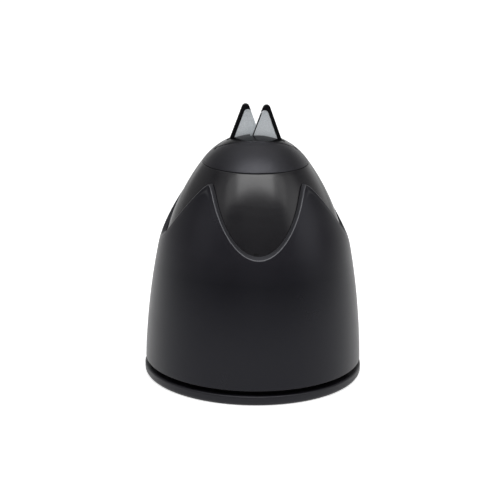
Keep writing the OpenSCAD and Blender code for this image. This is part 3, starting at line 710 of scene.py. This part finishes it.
def make_cap(materials):
    """The matte cap: part of the crown ball between its seam and the lens-shaped opening."""
    seam = SEAM_HEIGHT + SEAM_GAP
    seam_edge, lip_edge = 0.3 * MM, 0.32 * MM
    outer_rows, inner_rows = 22, 10
    outline = notched(lens_outline(LENS_GAP))
    rim = [(math.cos(a), math.sin(a)) for a in even_angles(outline)]
    lip = grown(outline, lip_edge)
    seam_radius = dome_r(seam)
    top_radius = dome_r(seam + seam_edge)
    under_radius = dome_r(seam, -DOME_WALL)
    top_rim = [(top_radius * c, top_radius * s) for c, s in rim]
    under_rim = [(under_radius * c, under_radius * s) for c, s in rim]
    outer = [on_ball(between(lip, top_rim, i / outer_rows), CROWN_RADIUS) for i in range(outer_rows + 1)]
    inner = [on_ball(between(outline, under_rim, i / inner_rows), CROWN_RADIUS - DOME_WALL)
             for i in range(inner_rows, -1, -1)]
    inner[0] = [Vector((x, y, seam)) for x, y in under_rim]
    seam_corner = [Vector((seam_radius * c, seam_radius * s, seam)) for c, s in rim]
    seam_in = [Vector(((seam_radius - seam_edge) * c, (seam_radius - seam_edge) * s, seam))
               for c, s in rim]
    corner = on_ball(outline, CROWN_RADIUS)
    rings = outer + rounding(outer[-1], seam_corner, seam_in, 4)[1:]
    rings += inner + rounding(lowered(corner, lip_edge), corner, outer[0], 4)[:-1]
    bm = bmesh.new()
    add_rings(bm, rings)
    add_spigot(bm)
    piece = finish_mesh("matte_cap", bm, 50)
    place(piece, "body", "cap_matte", materials["cap_matte"], "top_cap")


def add_spigot(bm):
    """The cap's spigot ring and its six screw bosses, which reach up into the cap's wall."""
    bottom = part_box("top_cap")[0].z
    outer, inner = SPIGOT_RADIUS, SPIGOT_RADIUS - SPIGOT_WALL
    outer_top, inner_top = SEAM_HEIGHT + 1.2 * MM, SEAM_HEIGHT + 3 * MM
    add_lathe(bm, [(outer, bottom), (outer, outer_top), (inner, inner_top), (inner, bottom)])
    boss, hole, overlap, least = 2.4 * MM, 1.15 * MM, 0.1 * MM, 3 * MM
    cap_screw = outer - boss - 0.5 * MM
    bracket_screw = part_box("bracket_screws")[1].y - 2 * MM
    bracket_top = PIVOT_HEIGHT - 3.5 * MM
    places = [(cap_screw, math.radians(45 + 90 * i), bottom) for i in range(4)]
    places += [(bracket_screw, math.radians(90 + 180 * i), bracket_top) for i in range(2)]
    for radius, angle, low in places:
        x, y = radius * math.cos(angle), radius * math.sin(angle)
        top = crown_z(*(1 + boss / radius) * Vector((x, y)), CROWN_RADIUS - DOME_WALL) - overlap
        top = max(top, low + least)
        add_lathe(bm, [(boss, low), (boss, top), (hole, top), (hole, low)], 32, (x, y))


def slot_outline():
    """The Z-shaped opening for the arms, counter-clockwise from the right half's lower left corner."""
    near = ARM_GAP / 2 + ARM_THICKNESS + 0.2 * MM
    lap = 0.05 * MM
    play = 0.3 * MM
    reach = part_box("right_arm")[1].x
    # The right arm's outer edge at the crown, swung right out
    rise = crown_z(reach, 0) - PIVOT_HEIGHT
    swung = (reach - PIVOT_OFFSET) * math.cos(ARM_SWING) + rise * math.sin(ARM_SWING)
    right = PIVOT_OFFSET + swung + play
    # The arm's inner edge where it comes through the insert's underside
    left = play / 2 - arm_x(crown_z(0, 0, CROWN_RADIUS - DOME_WALL), -1)
    return [(-left, -near), (right, -near), (right, lap), (left, lap),
            (left, near), (-right, near), (-right, -lap), (-left, -lap)]


def divided(outline, counts):
    """An outline with each side cut into a number of equal steps."""
    points = []
    for i, count in enumerate(counts):
        a, b = Vector(outline[i]), Vector(outline[(i + 1) % len(outline)])
        points += [tuple(a.lerp(b, k / count)) for k in range(count)]
    return points


def make_insert(materials):
    """The lens-shaped insert on the crown ball, with the opening for the arms and its hidden flange."""
    lip_edge, slot_edge = 0.32 * MM, 0.15 * MM
    rows = 14
    underside = CROWN_RADIUS - DOME_WALL - 0.1 * MM
    outer = lens_outline(0)
    # As many points as the lens's outline has, the first of them opposite its right tip
    hole = divided(slot_outline(), [50, 10, 24, 10, 50, 10, 24, 14])
    start = min(range(len(hole)), key=lambda i: (-hole[i][0], abs(hole[i][1])))
    hole = hole[start:] + hole[:start]
    shortened, widened = grown(outer, -lip_edge), grown(hole, slot_edge)
    top = [on_ball(between(shortened, widened, i / rows), CROWN_RADIUS) for i in range(rows + 1)]
    corner, hole_corner = on_ball(outer, CROWN_RADIUS), on_ball(hole, CROWN_RADIUS)
    rings = top + rounding(top[-1], hole_corner, lowered(hole_corner, slot_edge), 3)[1:]
    rings += [on_ball(hole, underside), on_ball(outer, underside)]
    rings += rounding(lowered(corner, lip_edge), corner, top[0], 4)[:-1]
    bm = bmesh.new()
    add_rings(bm, rings)

    flange_top = CROWN_RADIUS - DOME_WALL - 0.05 * MM
    flange_low = flange_top - 1.2 * MM
    limit = SPIGOT_RADIUS - SPIGOT_WALL - 0.3 * MM
    flange = []
    for x, y in grown(outer, 1.2 * MM):
        kept = min(1, limit / math.hypot(x, y))
        flange.append((x * kept, y * kept))
    band = grown(outer, -1 * MM)
    add_rings(bm, [on_ball(flange, flange_top), on_ball(flange, flange_low),
                   on_ball(band, flange_low), on_ball(band, flange_top)])
    piece = finish_mesh("lens_insert", bm, 50)
    place(piece, "body", "insert_matte", materials["insert_matte"], "slot_insert")


# ------------------------------------------------------------------ pad

def make_pad(materials):
    """The suction pad: rounded rim, seat for the base plate and a shallow dish underneath."""
    seat = BASE_RADIUS + 0.3 * MM
    pocket = 11.5 * MM
    pocket_floor = BASE_BOTTOM - 1.2 * MM
    middle, dish_height, dish_edge = 0.4 * MM, 1.0 * MM, PAD_RADIUS - 6.1 * MM
    # Each corner of the section with the radius that rounds it
    corners = [
        ((middle, dish_height), 0), ((dish_edge, 0), 2 * MM),
        ((PAD_RADIUS, 0), 1.85 * MM), ((PAD_RADIUS, PAD_HEIGHT), 0.7 * MM),
        ((seat, PAD_HEIGHT), 0.35 * MM), ((seat, BASE_BOTTOM), 0.2 * MM),
        ((pocket, BASE_BOTTOM), 0.2 * MM), ((pocket, pocket_floor), 0.2 * MM),
        ((middle, pocket_floor), 0),
    ]
    bm = bmesh.new()
    add_lathe(bm, fillet(corners, 6), 256)
    piece = finish_mesh("rubber_pad", bm)
    place(piece, "body", "pad_rubber", materials["pad_rubber"], "suction_pad")


# ------------------------------------------------------------------ arms

def arm_x(z, side):
    """Where an arm's edge is at height z: side 1 outside, side -1 inside."""
    drop = TIP_HEIGHT - TIP_RADIUS - z
    return TIP_OFFSET + side * (TIP_RADIUS / math.cos(EDGE_ANGLE) + drop * math.tan(EDGE_ANGLE))


def pointed(centre, radius, low):
    """A blade's outline with a round tip, widening down to a height."""
    spread = radius / math.cos(EDGE_ANGLE) + (centre[1] - low) * math.tan(EDGE_ANGLE)
    tip = arc(centre, radius, EDGE_ANGLE, math.pi - EDGE_ANGLE, 14)
    return [(centre[0] + spread, low)] + tip + [(centre[0] - spread, low)]


def make_arms(materials):
    """Each arm has a black holder that frames a pale plate on its outer side and tip."""
    tip = (TIP_OFFSET, TIP_HEIGHT - TIP_RADIUS)
    plate_tip = (
        tip[0] - BORDER_WIDTH / (2 * math.cos(EDGE_ANGLE)),
        tip[1] + (2 * TIP_RADIUS - BORDER_WIDTH - 2 * PLATE_TIP_RADIUS) / (2 * math.sin(EDGE_ANGLE)),
    )
    plate_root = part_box("right_plate")[0].z
    plate_bevel, holder_bevel = 0.12 * MM, 0.18 * MM
    # Depth and recess of the dark strip of painted shade along the plate's inner edge
    painted_shade_depth, painted_shade_recess = 0.3 * MM, 0.02 * MM
    near = -ARM_GAP / 2
    far = near - ARM_THICKNESS
    for side, half_turn in (("right", False), ("left", True)):
        bm = bmesh.new()
        add_prism(bm, pointed(plate_tip, PLATE_TIP_RADIUS, plate_root),
                  near - PLATE_RECESS, far + PLATE_RECESS, plate_bevel)
        if half_turn:
            turn_half(bm)
        piece = finish_mesh(side + "_abrasive", bm, 50)
        place(piece, side + "_arm", "abrasive_plate", materials["abrasive_plate"], side + "_plate")

        bm = bmesh.new()
        add_prism(bm, holder_outline(tip, plate_tip, plate_root), near, far, holder_bevel)
        add_hub(bm)
        # Painted shade: a fine dark strip of holder plastic along the plate's inner edge on the outer
        # face stands in for the shade on that edge
        add_prism(bm, painted_shade_strip_outline(plate_tip, plate_root), far + painted_shade_depth, far + painted_shade_recess)
        if half_turn:
            turn_half(bm)
        piece = finish_mesh(side + "_holder", bm, 50)
        place(piece, side + "_arm", "holder_black", materials["holder_black"], side + "_arm")


def turn_half(bm):
    """Turns a mesh half round the axis, which makes the left arm of the right one."""
    bmesh.ops.rotate(bm, verts=bm.verts, cent=(0, 0, 0), matrix=Matrix.Rotation(math.pi, 3, "Z"))


def holder_outline(tip, plate_tip, plate_root):
    """The holder in X and Z: up its outer side, round the tip, down the plate's seat, and its tail."""
    seam, touch = 0.05 * MM, 0.02 * MM
    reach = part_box("right_arm")[1].x
    outer = arc(tip, TIP_RADIUS, EDGE_ANGLE, math.pi - EDGE_ANGLE, 16)
    # The plate's inner edge is the arm's: the seat starts where its round tip meets that edge
    seat = pointed(plate_tip, PLATE_TIP_RADIUS + seam, plate_root - seam)
    start = next(i for i, (x, z) in enumerate(seat) if x < arm_x(z, -1) + touch)
    boss = 3.2 * MM
    tail, tail_half, tail_bottom = PIVOT_OFFSET - 0.4 * MM, 2 * MM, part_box("right_arm")[0].z
    lower = [
        (arm_x(plate_root, -1), plate_root - seam),
        (PIVOT_OFFSET - boss, PIVOT_HEIGHT + 1 * MM),
        (tail - tail_half, PIVOT_HEIGHT - 1 * MM),
        (tail - tail_half, tail_bottom),
        (tail + tail_half, tail_bottom),
        (tail + tail_half, PIVOT_HEIGHT - 2 * MM),
        (PIVOT_OFFSET + boss, PIVOT_HEIGHT),
        (reach, plate_root - 1 * MM),
    ]
    return [(reach, crown_z(reach, 0))] + outer + seat[start::-1] + lower


def painted_shade_strip_outline(plate_tip, plate_root):
    """A strip of painted shade in X and Z: a narrow dark strip along the arm's inner edge, up to the
    plate's tip, where the plate's edge lies in shade.
    """
    width = 0.45 * MM
    top = plate_tip[1] + 0.2 * MM
    low_edge, top_edge = arm_x(plate_root, -1), arm_x(top, -1)
    return [(low_edge, plate_root), (low_edge + width, plate_root),
            (top_edge + width, top), (top_edge, top)]


def add_hub(bm):
    """The boss around the pivot pin, with its bore."""
    hub, bore, count = 2.3 * MM, 1.56 * MM, 48
    low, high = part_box("right_arm")[0].y, -ARM_GAP / 2 - ARM_THICKNESS / 2
    rings = []
    for radius, y in ((hub, low), (hub, high), (bore, high), (bore, low)):
        rings.append([(PIVOT_OFFSET + radius * math.cos(a), y, PIVOT_HEIGHT + radius * math.sin(a))
                      for a in (2 * math.pi * i / count for i in range(count))])
    add_rings(bm, rings)


# ------------------------------------------------------------------ stage

FLOOR_SIZE = 8
FLOOR_COLOR = (0.8, 0.8, 0.8, 1)
# The floor's own light: a grey level for the camera, and (distance, level) stops for reflections
FLOOR_SEEN = 0.65
FLOOR_MIRRORED = ((0.22, 0.3), (0.5, 0))

# Grey levels of the world in reflections: at the horizon from front to back, and above it by height
HORIZON = ((0.3, 0.08), (0.5, 0.18), (0.72, 0.36), (0.84, 0.74), (1, 1))
ABOVE = ((0.25, 0.34), (0.42, 0.3), (0.6, 0.16), (0.8, 0.6), (1, 1.1))
# One passes into the other over these heights of a direction
HORIZON_FADE = (0.1, 0.45)
WORLD_FILL = 0.5
# Panels in the world, for reflections: direction, half angle in degrees, grey level
PANELS = (((-0.87, -0.3, 0.46), 25, 0.65), ((0.88, -0.3, 0.42), 26, 1.25),
          ((-0.7, 0.66, 0.26), 32, 0.3), ((0, -1, 0.03), 24, 0.3))

# Lights: name, size, place, watts
SOFTBOXES = (("top_softbox", (1.05, 0.5), (-0.01, -0.47, 1.0), 4.6),
             ("wide_softbox", (1.9, 0.4), (0, -0.55, 0.95), 2.8),
             ("low_softbox", (1.4, 0.4), (0.15, -1.2, 0.95), 0.15))
LIGHTS_AIM = (0, 0, 0.08)

CAMERA_PLACE = (-0.0351, -0.7153, 0.2606)
# Heading, pitch and roll in degrees
CAMERA_ANGLES = (2.67, 16.25, 0.73)
SENSOR_WIDTH = 36
FOCAL_LENGTH = 129.6


def add_floor():
    """A white floor that keeps the shadow, with light of its own for the camera and reflections."""
    bpy.ops.mesh.primitive_plane_add(size=FLOOR_SIZE, location=(0, 0, 0))
    floor = bpy.context.object
    floor.name = "floor"
    material = bpy.data.materials.new("floor_white")
    material.use_nodes = True
    tree = material.node_tree
    tree.nodes.clear()
    output = tree.nodes.new("ShaderNodeOutputMaterial")
    diffuse = tree.nodes.new("ShaderNodeBsdfDiffuse")
    diffuse.inputs["Color"].default_value = FLOOR_COLOR
    glow = tree.nodes.new("ShaderNodeEmission")
    coordinates = tree.nodes.new("ShaderNodeTexCoord")
    distance = tree.nodes.new("ShaderNodeVectorMath")
    distance.operation = "LENGTH"
    link(tree, coordinates, "Object", distance, 0)
    mirrored = levels(tree, distance, "Value", FLOOR_MIRRORED)
    rays, bent = ray_kinds(tree)
    unseen = blend(tree, bent, "Value", grey(tree, 0), mirrored)
    seen = blend(tree, rays, "Is Camera Ray", unseen, grey(tree, FLOOR_SEEN))
    link(tree, seen, "Color", glow, "Color")
    both = tree.nodes.new("ShaderNodeAddShader")
    link(tree, diffuse, "BSDF", both, 0)
    link(tree, glow, "Emission", both, 1)
    link(tree, both, "Shader", output, "Surface")
    floor.data.materials.append(material)


def panel(tree, direction, rest, toward, degrees, level):
    """The world with a soft round panel, brighter or dimmer than the rest, around one direction."""
    facing = tree.nodes.new("ShaderNodeVectorMath")
    facing.operation = "DOT_PRODUCT"
    facing.inputs[1].default_value = Vector(toward).normalized()
    link(tree, direction, "Generated", facing, 0)
    near = share(tree, facing, "Value", math.cos(math.radians(degrees)), 1)
    near.interpolation_type = "SMOOTHSTEP"
    return blend(tree, near, "Result", rest, grey(tree, level))


def add_world():
    """White to the camera, plain fill light, and for reflections a horizon brighter to the back."""
    world = bpy.data.worlds.new("studio")
    bpy.context.scene.world = world
    world.use_nodes = True
    tree = world.node_tree
    tree.nodes.clear()
    output = tree.nodes.new("ShaderNodeOutputWorld")
    sky = tree.nodes.new("ShaderNodeBackground")
    direction = tree.nodes.new("ShaderNodeTexCoord")
    parts = tree.nodes.new("ShaderNodeSeparateXYZ")
    link(tree, direction, "Generated", parts, "Vector")
    horizon = levels(tree, share(tree, parts, "Y", -1, 1), "Result", HORIZON)
    above = levels(tree, share(tree, parts, "Z", 0, 1), "Result", ABOVE)
    reflected = blend(tree, share(tree, parts, "Z", *HORIZON_FADE), "Result", horizon, above)
    for toward, degrees, level in PANELS:
        reflected = panel(tree, direction, reflected, toward, degrees, level)
    rays, bent = ray_kinds(tree)
    unseen = blend(tree, bent, "Value", grey(tree, WORLD_FILL), reflected)
    seen = blend(tree, rays, "Is Camera Ray", unseen, grey(tree, 1))
    link(tree, seen, "Color", sky, "Color")
    link(tree, sky, "Background", output, "Surface")


def add_lights():
    """Softboxes above and in front, all aimed at the object's upper half."""
    for name, size, location, power in SOFTBOXES:
        data = bpy.data.lights.new(name, "AREA")
        data.shape = "RECTANGLE"
        data.size, data.size_y = size
        data.energy = power
        lamp = bpy.data.objects.new(name, data)
        bpy.context.scene.collection.objects.link(lamp)
        lamp.location = location
        aim = Vector(LIGHTS_AIM) - Vector(location)
        lamp.rotation_euler = aim.to_track_quat("-Z", "Y").to_euler()
        lamp.visible_camera = False


def add_camera():
    """A long lens, a little to the left of the front and above it."""
    heading, pitch, roll = (math.radians(angle) for angle in CAMERA_ANGLES)
    look = Vector((math.sin(heading) * math.cos(pitch), math.cos(heading) * math.cos(pitch),
                   -math.sin(pitch)))
    level = Vector((math.cos(heading), -math.sin(heading), 0))
    upright = level.cross(look)
    right = math.cos(roll) * level + math.sin(roll) * upright
    up = math.cos(roll) * upright - math.sin(roll) * level
    data = bpy.data.cameras.new("camera")
    data.sensor_width = SENSOR_WIDTH
    data.lens = FOCAL_LENGTH
    data.clip_start, data.clip_end = 0.01, 20
    camera = bpy.data.objects.new("camera", data)
    bpy.context.scene.collection.objects.link(camera)
    turned = Matrix((right, up, -look)).transposed().to_4x4()
    camera.matrix_world = Matrix.Translation(CAMERA_PLACE) @ turned
    bpy.context.scene.camera = camera


# ------------------------------------------------------------------ everything

def dress_frame(materials):
    """The CAD nodes that stay take the finish of their material slot."""
    for part in frame["record"]["subparts"]:
        node = NODES[part["node"]]
        node.data.materials.clear()
        node.data.materials.append(materials[part["material_slot"]])


materials = make_materials()
dress_frame(materials)
add_camera()
add_world()
add_lights()
add_floor()
make_sleeve(materials)
make_dome(materials)
make_cap(materials)
make_insert(materials)
make_pad(materials)
make_arms(materials)

bpy.context.scene.view_settings.view_transform = "Standard"
